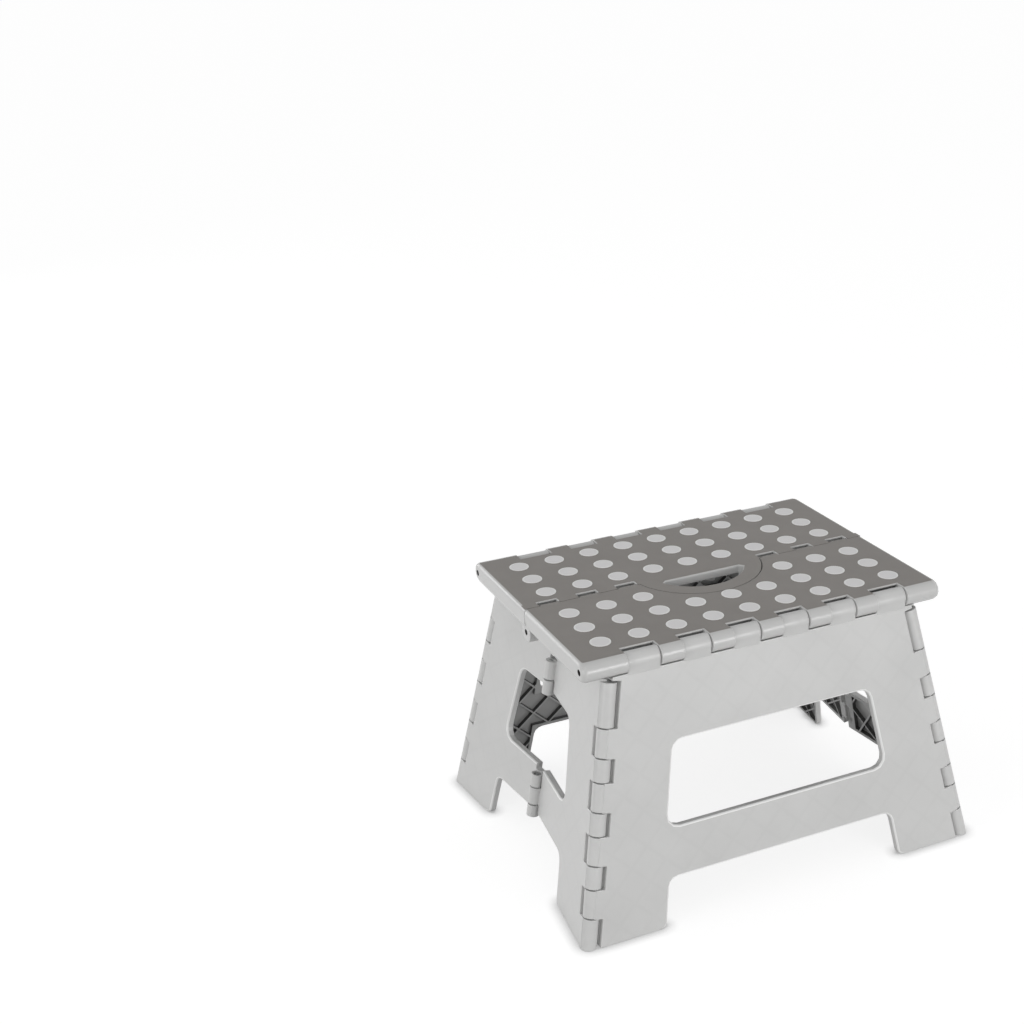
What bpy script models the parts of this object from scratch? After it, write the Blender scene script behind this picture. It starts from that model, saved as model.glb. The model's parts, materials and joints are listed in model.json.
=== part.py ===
"""Folding step stool of moulded plastic, in metres, +Z up, standing on Z = 0.

X runs along the top, the front faces -Y. Two leg panels hang from the two halves of the top. Each side is
closed by two leaves, which meet in a hinge at mid side. Pulling the middle of the top up folds it flat.
"""

import math

import bmesh
import bpy
from mathutils import Matrix, Vector

# Driving dimensions of the top
TOP_LENGTH = 0.300
TOP_DEPTH = 0.215
STOOL_HEIGHT = 0.215
EDGE_RADIUS = 0.008
DECK_THICKNESS = 0.003
WALL = 0.003
END_ROUNDING = 0.003
SEAM_GAP = 0.0006

# Driving dimensions of the leg panels
PANEL_LEAN = math.radians(9.66)
PANEL_TAPER = math.radians(10.88)
PANEL_THICKNESS = 0.0056
PANEL_OFFSET = 0.0035
CORNER_FOOT_X = 0.165
PANEL_SKIN = 0.002

# Windows and arches, as heights above the floor and half widths
WINDOW_BOTTOM = 0.077
WINDOW_TOP = 0.1425
ARCH_HEIGHT = 0.038
PANEL_WINDOW_LOW = 0.0955
PANEL_WINDOW_HIGH = 0.0842
PANEL_ARCH_LOW = 0.1034
PANEL_ARCH_HIGH = 0.0973
LEAF_WINDOW_LOW = 0.0605
LEAF_WINDOW_HIGH = 0.0470
LEAF_ARCH_LOW = 0.0705
LEAF_ARCH_HIGH = 0.0645
WINDOW_ROUNDING = 0.009
ARCH_ROUNDING = 0.008
FOOT_ROUNDING = 0.005

# Side leaves
LEAF_TOP_GAP = 0.002
LEAF_THICKNESS = 0.0056
LEAF_RELIEF_DEPTH = 0.013
LEAF_RELIEF_WIDTH = 0.0105
SIDE_FOOT_X = 0.159

# Hinges along the long edges of the top
EDGE_KNUCKLES = 3
PANEL_KNUCKLE = 0.0222
PANEL_KNUCKLE_RADIUS = 0.006
TOP_KNUCKLE = 0.0188
END_KNUCKLE_EXTRA = 0.0039
KNUCKLE_SHIFT = 0.003
NOTCH_CLEARANCE = 0.0013
KNUCKLE_GAP = 0.0012
EDGE_CLEARANCE = 0.0008

# Corner hinges, measured along their slanted axis from the floor
CORNER_RADIUS = 0.0062
CORNER_CLEARANCE = 0.0009
CORNER_KNUCKLES = 4
CORNER_KNUCKLE = 0.0223
CORNER_PITCH = 0.0405
CORNER_FIRST = 0.0345
CORNER_SETBACK = 0.002

# Mid-side hinges, as heights above the floor
SIDE_RADIUS = 0.005
SIDE_AXIS_OUT = 0.002
SIDE_CLEARANCE = 0.0014
SIDE_EDGE_GAP = 0.0006
SIDE_UPPER = (0.1398, 0.1525, 0.1684)
SIDE_LOWER = (0.0349, 0.0458, 0.0609, 0.0723)
SIDE_SLOT = 0.0016
OPEN_PIVOT_PLAY = 0.0016

# Centre hinge below the seam of the top
EAR_RADIUS = 0.008
EAR_CLEARANCE = 0.0008
TONGUES = 3
TONGUE_WIDTH = 0.0164
TONGUE_MARGIN = 0.0016
END_EAR = 0.0132
TONGUE_REACH = 0.0022
TONGUE_DROP = 0.0002
SEAM_SLIT = 0.0025

# Hand slot in the half-moon tab
TAB_REACH = 0.041
TAB_RADIUS = 0.0548
TAB_THICKNESS = 0.012
TAB_CLEARANCE = 0.0008
GRIP_WIDTH = 0.014
SLOT_SETBACK = 0.003
SLOT_ROUNDING = 0.003
SLOT_WALL = 0.007

# Ribs of the hollow inner sides
PANEL_LATTICE = 0.040
TOP_LATTICE = 0.050
RIB = 0.0016
RIM = 0.003
SMALLEST_POCKET = 0.00012

# Grip dots
DOT_RADIUS = 0.0078
DOT_HEIGHT = 0.0005
DOT_PITCH_X = 0.0307
DOT_PITCH_Y = 0.02746
DOT_COLUMNS = 9
DOT_ROWS = 3
DOT_FROM_SEAM = 0.02205
DOT_SIDES = 8

# Hinge pins
EDGE_PIN_RADIUS = 0.00175
CORNER_PIN_RADIUS = 0.0015
PIN_CLEARANCE = 0.0003
PIN_RECESS = 0.006

# Fineness of the curves, and the tolerances of the modelling steps
BARREL_SIDES = 12
BORE_SIDES = 6
ARC_STEPS = 3
NOSE_STEPS = 6
EAR_STEPS = 9
SLOT_STEPS = 12
TAB_STEPS = 18
END_STEPS = 2
SHARP_ANGLE = math.radians(30)
FLAT_ANGLE = math.radians(0.6)
WELD = 0.00001

# Places that follow from the driving dimensions
EDGE_Y = TOP_DEPTH / 2 - EDGE_RADIUS
EDGE_Z = STOOL_HEIGHT - EDGE_RADIUS
CENTRE_DROP = SIDE_AXIS_OUT + 2 * CORNER_RADIUS - PANEL_OFFSET
SEAM_Y = EDGE_Y - SEAM_GAP / 2
HALF_LENGTH = TOP_LENGTH / 2
END_PLAY = KNUCKLE_GAP / 4
TAB_CENTRE = EDGE_Y + TAB_REACH - TAB_RADIUS
TAB_HALF_WIDTH = math.sqrt(TAB_RADIUS**2 - (EDGE_Y - TAB_CENTRE) ** 2)
TONGUE_FIRST = TAB_HALF_WIDTH + TONGUE_MARGIN
TONGUE_PITCH = (HALF_LENGTH - END_EAR - TONGUE_FIRST - TONGUE_WIDTH) / (TONGUES - 1)
LEAF_TOP = EDGE_Z - EDGE_RADIUS - LEAF_TOP_GAP
REACH = TOP_LENGTH

for old in list(bpy.data.objects):
    bpy.data.objects.remove(old, do_unlink=True)

stool = bpy.data.collections.new("folding_step_stool")
bpy.context.scene.collection.children.link(stool)
cutters = bpy.data.collections.new("cutters")
bpy.context.scene.collection.children.link(cutters)


def material(name, colour, roughness, metallic=0.0):
    made = bpy.data.materials.new(name)
    made.use_nodes = True
    shader = made.node_tree.nodes["Principled BSDF"]
    shader.inputs["Base Color"].default_value = (*colour, 1.0)
    shader.inputs["Roughness"].default_value = roughness
    shader.inputs["Metallic"].default_value = metallic
    return made


PLASTIC = material("light_grey_polypropylene", (0.57, 0.57, 0.57), 0.5)
DECK = material("taupe_grey_polypropylene", (0.23, 0.21, 0.20), 0.55)
STEEL = material("bright_steel_wire", (0.6, 0.6, 0.6), 0.3, 1.0)


def rounded(corners):
    """Points of a closed outline whose corners (x, y, radius) are rounded by arcs."""
    points = []
    for i, (x, y, radius) in enumerate(corners):
        here = Vector((x, y))
        before = Vector(corners[i - 1][:2]) - here
        after = Vector(corners[(i + 1) % len(corners)][:2]) - here
        if radius <= 0:
            points.append(here)
            continue
        half = before.angle(after) / 2
        inward = (before.normalized() + after.normalized()).normalized()
        centre = here + inward * (radius / math.sin(half))
        start = here + before.normalized() * (radius / math.tan(half)) - centre
        end = here + after.normalized() * (radius / math.tan(half)) - centre
        sweep = start.angle_signed(end)
        for step in range(ARC_STEPS + 1):
            turn = Matrix.Rotation(-sweep * step / ARC_STEPS, 2)
            points.append(centre + turn @ start)
    return points


def inset(corners, distances):
    """Sharp outline with each edge moved to its left; edge i runs from corner i to the next."""
    moved = []
    for i, (x, y, _) in enumerate(corners):
        here = Vector((x, y))
        along_in = (here - Vector(corners[i - 1][:2])).normalized()
        along_out = (Vector(corners[(i + 1) % len(corners)][:2]) - here).normalized()
        normal_in = Vector((-along_in.y, along_in.x))
        normal_out = Vector((-along_out.y, along_out.x))
        before, after = distances[i - 1], distances[i]
        slide = (after - before * normal_in.dot(normal_out)) / along_in.dot(normal_out)
        moved.append(here + normal_in * before + along_in * slide)
    return moved


def flat_mesh(loops, thickness):
    """A flat 2D curve, filled between its loops and extruded about Z = 0, as a mesh."""
    curve = bpy.data.curves.new("outline", "CURVE")
    curve.dimensions = "2D"
    curve.fill_mode = "BOTH"
    curve.extrude = thickness / 2
    for loop in loops:
        spline = curve.splines.new("POLY")
        spline.points.add(len(loop) - 1)
        spline.use_cyclic_u = True
        for point, place in zip(spline.points, loop):
            point.co = (place[0], place[1], 0.0, 1.0)
    drawn = bpy.data.objects.new("outline", curve)
    cutters.objects.link(drawn)
    graph = bpy.context.evaluated_depsgraph_get()
    mesh = bpy.data.meshes.new_from_object(drawn.evaluated_get(graph))
    bpy.data.objects.remove(drawn)
    shape = bmesh.new()
    shape.from_mesh(mesh)
    bmesh.ops.remove_doubles(shape, verts=shape.verts, dist=WELD)
    bpy.data.meshes.remove(mesh)
    return shape


def slab(loops, low, high):
    """A flat solid between two heights of its own Z axis."""
    shape = flat_mesh(loops, high - low)
    bmesh.ops.translate(shape, verts=shape.verts, vec=(0, 0, (low + high) / 2))
    bmesh.ops.recalc_face_normals(shape, faces=shape.faces)
    return shape


def add_barrel(shape, start, end, radius, sides):
    """A cylinder between two points, added to a mesh, with a flat side towards Z."""
    turn = (end - start).to_track_quat("Z", "Y").to_matrix().to_4x4()
    flat_up = Matrix.Rotation(math.pi / sides, 4, "Z")
    bmesh.ops.create_cone(
        shape,
        cap_ends=True,
        segments=sides,
        radius1=radius,
        radius2=radius,
        depth=(end - start).length,
        matrix=Matrix.Translation((start + end) / 2) @ turn @ flat_up,
    )


def add_block(shape, low, high, frame=Matrix.Identity(4)):
    """A box between two opposite corners, added to a mesh."""
    low, high = Vector(low), Vector(high)
    size = Matrix.Diagonal((*(high - low), 1.0))
    place = frame @ Matrix.Translation((low + high) / 2) @ size
    bmesh.ops.create_cube(shape, size=1.0, matrix=place)


def add_notch(shape, start, end, half_width):
    """A box round a stretch of a hinge axis, deep enough to go through the plate beside it."""
    way = end - start
    up = way.normalized()
    outward = Vector((0, 0, 1))
    across = up.cross(outward).normalized()
    turn = Matrix((across, up, outward)).transposed().to_4x4()
    frame = Matrix.Translation(start) @ turn
    deep = max(PANEL_THICKNESS, LEAF_THICKNESS) + 2 * half_width
    low = (-half_width, 0, -deep)
    add_block(shape, low, (half_width, way.length, deep), frame)


def below_floor(frame):
    """All that lies under the floor, in the frame of a piece."""
    shape = bmesh.new()
    add_block(shape, (-REACH, -REACH, -REACH), (REACH, REACH, 0), frame.inverted())
    return shape


def piece(name, shape, finish):
    mesh = bpy.data.meshes.new(name)
    shape.to_mesh(mesh)
    shape.free()
    mesh.materials.append(finish)
    made = bpy.data.objects.new(name, mesh)
    stool.objects.link(made)
    return made


def combine(target, shape, operation):
    """Joins a mesh to a piece, or cuts it away, and keeps the result as the piece's own mesh."""
    tool = bpy.data.objects.new("tool", bpy.data.meshes.new("tool"))
    shape.to_mesh(tool.data)
    shape.free()
    cutters.objects.link(tool)
    tool.hide_render = True
    tool.display_type = "WIRE"
    change = target.modifiers.new(operation.lower(), "BOOLEAN")
    change.operation = operation
    change.object = tool
    change.solver = "EXACT"
    graph = bpy.context.evaluated_depsgraph_get()
    result = bpy.data.meshes.new_from_object(target.evaluated_get(graph))
    target.modifiers.clear()
    target.data = result
    bpy.data.objects.remove(tool)


def fuse(target, shape):
    combine(target, shape, "UNION")


def cut(target, shape):
    combine(target, shape, "DIFFERENCE")


def finish_shading(target):
    target.data.shade_smooth()
    target.data.set_sharp_from_angle(angle=SHARP_ANGLE)


def pockets(loops, pitch, low, high):
    """The hollows between the ribs of a diamond lattice, as prisms that fill the given outline."""
    shape = flat_mesh(loops, 0.0)
    bmesh.ops.dissolve_limit(
        shape, angle_limit=FLAT_ANGLE, verts=shape.verts, edges=shape.edges
    )
    reach = max(vert.co.length for vert in shape.verts)
    lines = range(-int(reach / pitch) - 1, int(reach / pitch) + 2)
    across = (
        Vector((1, 1, 0)).normalized(),
        Vector((1, -1, 0)).normalized(),
    )
    for normal in across:
        for line in lines:
            for side in (-RIB / 2, RIB / 2):
                bmesh.ops.bisect_plane(
                    shape,
                    geom=shape.verts[:] + shape.edges[:] + shape.faces[:],
                    plane_co=normal * (line * pitch + side),
                    plane_no=normal,
                )
    ribs = []
    for face in shape.faces:
        middle = face.calc_center_median()
        offsets = [middle.dot(normal) / pitch for normal in across]
        nearest = min(abs(offset - round(offset)) for offset in offsets)
        if nearest * pitch < RIB / 2:
            ribs.append(face)
    bmesh.ops.delete(shape, geom=ribs, context="FACES")
    bmesh.ops.dissolve_limit(
        shape, angle_limit=FLAT_ANGLE, verts=shape.verts, edges=shape.edges
    )
    small = [face for face in shape.faces if face.calc_area() < SMALLEST_POCKET]
    bmesh.ops.delete(shape, geom=small, context="FACES")
    bmesh.ops.translate(shape, verts=shape.verts, vec=(0, 0, low))
    grown = bmesh.ops.extrude_face_region(shape, geom=shape.faces[:])
    raised = [item for item in grown["geom"] if isinstance(item, bmesh.types.BMVert)]
    bmesh.ops.translate(shape, verts=raised, vec=(0, 0, high - low))
    bmesh.ops.recalc_face_normals(shape, faces=shape.faces)
    return shape


def spans_between(spans, start, end):
    """The stretches from start to end that the given spans leave free."""
    free = []
    for low, high in sorted(spans):
        free.append((start, low))
        start = high
    free.append((start, end))
    return free


# Frames of the front half of the stool; those of the rear half are the same, turned about Z
panel_frame = Matrix.Translation((0, -EDGE_Y, EDGE_Z)) @ Matrix.Rotation(
    math.pi / 2 - PANEL_LEAN, 4, "X"
)
top_frame = Matrix.Translation((0, -EDGE_Y, EDGE_Z))
half_turn = Matrix.Rotation(math.pi, 4, "Z")

# The left corner axis lies in the front panel, below its outer face by the radius of its knuckles
corner_level = PANEL_OFFSET - CORNER_RADIUS
corner_foot_height = -(EDGE_Z + corner_level * math.sin(PANEL_LEAN)) / math.cos(PANEL_LEAN)
corner_foot = Vector((-CORNER_FOOT_X, corner_foot_height, corner_level))
corner_way = Vector((math.sin(PANEL_TAPER), math.cos(PANEL_TAPER), 0.0))
corner_start = panel_frame @ corner_foot
corner_direction = panel_frame.to_3x3() @ corner_way
corner_top = (LEAF_TOP - CORNER_SETBACK) / corner_direction.z


def side_axis_direction():
    """Direction of the mid-side axis, in the plane Y = 0, that lets one flat leaf hold both its axes."""
    apart = SIDE_AXIS_OUT + CORNER_RADIUS
    ax, ay, az = corner_direction
    way = Vector((-SIDE_FOOT_X, 0, 0)) - corner_start
    fixed = way.x * ay - way.y * ax
    rate = way.y * az
    square = rate**2 - apart**2 * (az**2 + ay**2)
    linear = 2 * (fixed * rate + apart**2 * ax * az)
    constant = fixed**2 - apart**2 * (ax**2 + ay**2)
    root = math.sqrt(linear**2 - 4 * square * constant)
    slopes = [(-linear + sign * root) / (2 * square) for sign in (1, -1)]
    slope = next(value for value in slopes if fixed + rate * value < 0)
    return Vector((slope, 0, 1)).normalized()


side_foot = Vector((-SIDE_FOOT_X, 0, 0))
side_direction = side_axis_direction()
leaf_outward = side_direction.cross(corner_direction).normalized()


def leaf_frame_at(start, up, outward):
    """Axes of a leaf: Y along its corner axis, Z out of the stool."""
    across = up.cross(outward)
    turn = Matrix((across, up, outward)).transposed().to_4x4()
    return Matrix.Translation(start) @ turn


mirror = Matrix.Diagonal((1, -1, 1))
front_leaf_frame = leaf_frame_at(corner_start, corner_direction, leaf_outward)
rear_leaf_frame = leaf_frame_at(
    mirror @ corner_start, mirror @ corner_direction, mirror @ leaf_outward
)


def edge_knuckles(front):
    """Stretches of X that the knuckles of a leg panel take along the edge of the top."""
    shift = KNUCKLE_SHIFT if front else -KNUCKLE_SHIFT
    spans = []
    for i in range(EDGE_KNUCKLES):
        start = TOP_KNUCKLE / 2 + i * (PANEL_KNUCKLE + TOP_KNUCKLE)
        last = i == EDGE_KNUCKLES - 1
        end = start + PANEL_KNUCKLE + (END_KNUCKLE_EXTRA if last else 0.0)
        spans += [(start, end), (-end, -start)]
    return sorted((low + shift, high + shift) for low, high in spans)


def corner_knuckles():
    """Stretches of the corner axis that the knuckles of a leg panel take."""
    middles = [CORNER_FIRST + i * CORNER_PITCH for i in range(CORNER_KNUCKLES)]
    return [(m - CORNER_KNUCKLE / 2, m + CORNER_KNUCKLE / 2) for m in middles]


def tongue_spans():
    """Stretches of X where the front half of the top reaches across the seam."""
    starts = [TONGUE_FIRST + i * TONGUE_PITCH for i in range(TONGUES)]
    right = [(start, start + TONGUE_WIDTH) for start in starts]
    return sorted(right + [(-high, -low) for low, high in right])


def rear_ear_spans():
    """Stretches of X between and outside the tongues, where the rear half has its ears."""
    tongues = [span for span in tongue_spans() if span[0] > 0]
    right = [(low[1], high[0]) for low, high in zip(tongues, tongues[1:])]
    right.append((tongues[-1][1], HALF_LENGTH))
    return sorted(right + [(-high, -low) for low, high in right])


def along_axis(start, way, span, shrink=0.0):
    """End points of a stretch of an axis, shortened at both ends."""
    low, high = span
    return start + way * (low + shrink), start + way * (high - shrink)


def panel_height(z):
    """Height in the panel's own frame of a point of its outer face."""
    return (z - EDGE_Z - PANEL_OFFSET * math.sin(PANEL_LEAN)) / math.cos(PANEL_LEAN)


def corner_x(height):
    """X of the right corner axis at a height in the panel's own frame."""
    return CORNER_FOOT_X - (height - corner_foot_height) * math.tan(PANEL_TAPER)


def leg_panel(name, front):
    """Plate with a window, an arch and two feet, and knuckles on three edges."""
    floor = panel_height(0.0)
    arch = panel_height(ARCH_HEIGHT)
    sill = panel_height(WINDOW_BOTTOM)
    lintel = panel_height(WINDOW_TOP)
    outline = [
        (corner_x(0.0), 0.0, 0.0),
        (-corner_x(0.0), 0.0, 0.0),
        (-corner_x(floor), floor, 0.0),
        (-PANEL_ARCH_LOW, floor, FOOT_ROUNDING),
        (-PANEL_ARCH_HIGH, arch, ARCH_ROUNDING),
        (PANEL_ARCH_HIGH, arch, ARCH_ROUNDING),
        (PANEL_ARCH_LOW, floor, FOOT_ROUNDING),
        (corner_x(floor), floor, 0.0),
    ]
    window = [
        (-PANEL_WINDOW_LOW, sill, WINDOW_ROUNDING),
        (PANEL_WINDOW_LOW, sill, WINDOW_ROUNDING),
        (PANEL_WINDOW_HIGH, lintel, WINDOW_ROUNDING),
        (-PANEL_WINDOW_HIGH, lintel, WINDOW_ROUNDING),
    ]
    inner = PANEL_OFFSET - PANEL_THICKNESS
    plate = slab([rounded(outline), rounded(window)], inner, PANEL_OFFSET)
    panel = piece(name, plate, PLASTIC)

    # Hollows of the inner face, between the ribs
    hinge_rim = EDGE_RADIUS + EDGE_CLEARANCE + RIM
    corner_rim = CORNER_RADIUS + CORNER_CLEARANCE + RIM
    rims = [hinge_rim, corner_rim, RIM, RIM, RIM, RIM, RIM, corner_rim]
    field = [inset(outline, rims), inset(window, [-RIM] * len(window))]
    cut(panel, pockets(field, PANEL_LATTICE, inner - WALL, PANEL_OFFSET - PANEL_SKIN))

    # Room for the knuckles of the top and of the leaves
    room = bmesh.new()
    for span in spans_between(edge_knuckles(front), -REACH, REACH):
        ends = along_axis(Vector(), Vector((1, 0, 0)), span)
        add_barrel(room, *ends, EDGE_RADIUS + EDGE_CLEARANCE, BARREL_SIDES)
    for side in (1, -1):
        flip = Matrix.Diagonal((side, 1, 1))
        for span in spans_between(corner_knuckles(), -RIM * 2, corner_top + KNUCKLE_GAP):
            ends = along_axis(corner_foot, corner_way, span)
            add_notch(room, *[flip @ end for end in ends], CORNER_RADIUS + CORNER_CLEARANCE)
    cut(panel, room)

    knuckles = bmesh.new()
    for span in edge_knuckles(front):
        ends = along_axis(Vector(), Vector((1, 0, 0)), span, END_PLAY)
        add_barrel(knuckles, *ends, PANEL_KNUCKLE_RADIUS, BARREL_SIDES)
    for side in (1, -1):
        flip = Matrix.Diagonal((side, 1, 1))
        for span in corner_knuckles():
            ends = along_axis(corner_foot, corner_way, span, KNUCKLE_GAP / 2)
            add_barrel(knuckles, *[flip @ end for end in ends], CORNER_RADIUS, BARREL_SIDES)
    fuse(panel, knuckles)

    cut(panel, below_floor(panel_frame))

    bores = bmesh.new()
    ends = (Vector((-REACH, 0, 0)), Vector((REACH, 0, 0)))
    add_barrel(bores, *ends, EDGE_PIN_RADIUS + PIN_CLEARANCE, BORE_SIDES)
    for side in (1, -1):
        flip = Matrix.Diagonal((side, 1, 1))
        ends = along_axis(corner_foot, corner_way, (-WALL, corner_top))
        radius = CORNER_PIN_RADIUS + PIN_CLEARANCE
        add_barrel(bores, *[flip @ end for end in ends], radius, BORE_SIDES)
    cut(panel, bores)
    finish_shading(panel)
    return panel


def leaf_point(frame, depth, z):
    """Place in a leaf's own frame of the point of its outer face at a depth Y and a height Z."""
    outward = frame.to_3x3() @ Vector((0, 0, 1))
    level = CORNER_RADIUS + outward.dot(frame.translation)
    x = (level - outward.y * depth - outward.z * z) / outward.x
    local = frame.inverted() @ Vector((x, depth, z))
    return local.x, local.y


def leaf_edge(frame, z):
    """Place in a leaf's own frame of the point at a height Z above the corner axis."""
    up = frame.to_3x3() @ Vector((0, 1, 0))
    outward = frame.to_3x3() @ Vector((0, 0, 1))
    return 0.0, (z - CORNER_RADIUS * outward.z) / up.z


def side_axis_point(frame, z):
    """Point of the mid-side axis at a height Z, in a leaf's own frame."""
    world = side_foot + side_direction * (z / side_direction.z)
    return frame.inverted() @ world


def side_knuckles(front):
    """Heights of a leaf's own knuckles in the mid-side hinge; those of the two leaves take turns."""
    first = 1 if front else 0
    upper = list(zip(SIDE_UPPER, SIDE_UPPER[1:]))
    lower = list(zip(SIDE_LOWER, SIDE_LOWER[1:]))
    return upper[first::2] + lower[first::2]


def side_notches(front):
    """Heights that a leaf leaves free for the other leaf's knuckles, with a slot above each group."""
    low0, low1, low2, low3 = SIDE_LOWER
    high0, high1, high2 = SIDE_UPPER
    upper_end = high2 + SIDE_SLOT
    lower_end = WINDOW_BOTTOM + SIDE_SLOT
    if front:
        return [(low0, low1), (low2, lower_end), (high0, high1), (high2, upper_end)]
    return [(low1, low2), (low3, lower_end), (high1, upper_end)]


def side_leaf(name, frame, front):
    """Half of a side: a plate with half a window and one foot, and knuckles on two edges."""
    sign = -1.0 if front else 1.0
    relief = LEAF_TOP - LEAF_RELIEF_DEPTH
    outline = [
        (*leaf_edge(frame, LEAF_TOP), 0.0),
        (*leaf_edge(frame, 0.0), 0.0),
        (*leaf_point(frame, sign * LEAF_ARCH_LOW, 0.0), FOOT_ROUNDING),
        (*leaf_point(frame, sign * LEAF_ARCH_HIGH, ARCH_HEIGHT), ARCH_ROUNDING),
        (*leaf_point(frame, sign * SIDE_EDGE_GAP, ARCH_HEIGHT), 0.0),
        (*leaf_point(frame, sign * SIDE_EDGE_GAP, WINDOW_BOTTOM), 0.0),
        (*leaf_point(frame, sign * LEAF_WINDOW_LOW, WINDOW_BOTTOM), WINDOW_ROUNDING),
        (*leaf_point(frame, sign * LEAF_WINDOW_HIGH, WINDOW_TOP), WINDOW_ROUNDING),
        (*leaf_point(frame, sign * SIDE_EDGE_GAP, WINDOW_TOP), 0.0),
        (*leaf_point(frame, sign * SIDE_EDGE_GAP, relief), 0.0),
        (*leaf_point(frame, sign * LEAF_RELIEF_WIDTH, relief), 0.0),
        (*leaf_point(frame, sign * LEAF_RELIEF_WIDTH, LEAF_TOP), 0.0),
    ]
    corner_rim = CORNER_RADIUS + CORNER_CLEARANCE + RIM
    side_rim = SIDE_RADIUS + SIDE_CLEARANCE + RIM
    rims = [corner_rim, RIM, RIM, RIM, side_rim, RIM, RIM, RIM, side_rim, RIM, RIM, RIM]
    field = inset(outline, [rim * sign for rim in rims])
    inner = CORNER_RADIUS - LEAF_THICKNESS
    leaf = piece(name, slab([rounded(outline)], inner, CORNER_RADIUS), PLASTIC)
    cut(leaf, pockets([field], PANEL_LATTICE, inner - WALL, CORNER_RADIUS - PANEL_SKIN))

    # Room for the knuckles of the leg panel and of the other leaf
    up = Vector((0, 1, 0))
    room = bmesh.new()
    for span in corner_knuckles():
        ends = along_axis(Vector(), up, span)
        add_notch(room, *ends, CORNER_RADIUS + CORNER_CLEARANCE)
    for low, high in side_notches(front):
        ends = [side_axis_point(frame, z) for z in (low, high)]
        add_notch(room, *ends, SIDE_RADIUS + SIDE_CLEARANCE)
    cut(leaf, room)

    knuckles = bmesh.new()
    for span in spans_between(corner_knuckles(), -RIM, corner_top):
        ends = along_axis(Vector(), up, span, KNUCKLE_GAP / 2)
        add_barrel(knuckles, *ends, CORNER_RADIUS, BARREL_SIDES)
    for low, high in side_knuckles(front):
        heights = (low + KNUCKLE_GAP / 2, high - KNUCKLE_GAP / 2)
        ends = [side_axis_point(frame, z) for z in heights]
        add_barrel(knuckles, *ends, SIDE_RADIUS, BARREL_SIDES)
    fuse(leaf, knuckles)
    cut(leaf, below_floor(frame))

    bores = bmesh.new()
    ends = along_axis(Vector(), up, (-RIM * 2, corner_top + RIM))
    add_barrel(bores, *ends, CORNER_PIN_RADIUS + PIN_CLEARANCE, BORE_SIDES)
    play = 0.0 if front else OPEN_PIVOT_PLAY
    ends = [side_axis_point(frame, z) for z in (SIDE_LOWER[0] - RIM, SIDE_LOWER[-1] + RIM)]
    sides = BORE_SIDES if front else BARREL_SIDES
    add_barrel(bores, *ends, CORNER_PIN_RADIUS + PIN_CLEARANCE + play, sides)
    ends = [side_axis_point(frame, z) for z in (SIDE_UPPER[0] - RIM, SIDE_UPPER[-1] + RIM)]
    add_barrel(bores, *ends, CORNER_PIN_RADIUS + PIN_CLEARANCE, BORE_SIDES)
    cut(leaf, bores)
    finish_shading(leaf)
    return leaf


def arc_points(radius, from_x, to_x, steps):
    """Points of an arc round the middle of the tab, from one X to another over its front."""
    start = math.asin(from_x / radius)
    end = math.asin(to_x / radius)
    angles = [start + (end - start) * step / steps for step in range(steps + 1)]
    return [(radius * math.sin(a), TAB_CENTRE + radius * math.cos(a)) for a in angles]


def tab_outline(extra, base):
    """Half-moon outline from a base line across the seam."""
    radius = TAB_RADIUS + extra
    reach = math.sqrt(radius**2 - (base - TAB_CENTRE) ** 2)
    return arc_points(radius, reach, -reach, TAB_STEPS)


def in_other_half(points):
    """The same points of the top, in the frame of its other half."""
    return [(-x, 2 * EDGE_Y - y) for x, y in points]


def slot_outline():
    """D-shaped hand slot: straight at the seam, curved along the grip."""
    radius = TAB_RADIUS - GRIP_WIDTH
    base = EDGE_Y + SLOT_SETBACK
    low = base + SLOT_ROUNDING
    reach = math.sqrt(radius**2 - (low - TAB_CENTRE) ** 2)
    curve = arc_points(radius, reach, -reach, SLOT_STEPS)
    foot = reach - SLOT_ROUNDING
    return curve + [(-foot, base), (foot, base)]


def deck_block():
    """Half of the top before it is hollowed: a bullnose profile drawn along X."""
    nose = [math.pi / 2 + math.pi * step / NOSE_STEPS for step in range(NOSE_STEPS + 1)]
    profile = [(EDGE_RADIUS * math.cos(a), EDGE_RADIUS * math.sin(a)) for a in nose]
    profile += [(SEAM_Y, -EDGE_RADIUS), (SEAM_Y, EDGE_RADIUS)]
    shape = slab([profile], -HALF_LENGTH, HALF_LENGTH)
    bmesh.ops.dissolve_limit(
        shape, angle_limit=FLAT_ANGLE, verts=shape.verts, edges=shape.edges
    )
    turn = Matrix(((0, 0, 1), (1, 0, 0), (0, 1, 0)))
    bmesh.ops.transform(shape, matrix=turn.to_4x4(), verts=shape.verts)
    ends = []
    for edge in shape.edges:
        first, second = (vert.co for vert in edge.verts)
        at_end = abs(first.x - second.x) < WALL
        at_seam = min(first.y, second.y) > SEAM_Y - WALL
        if at_end and not at_seam:
            ends.append(edge)
    bmesh.ops.bevel(
        shape, geom=ends, offset=END_ROUNDING, segments=END_STEPS, profile=0.5, affect="EDGES"
    )
    bmesh.ops.recalc_face_normals(shape, faces=shape.faces)
    return shape


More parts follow.
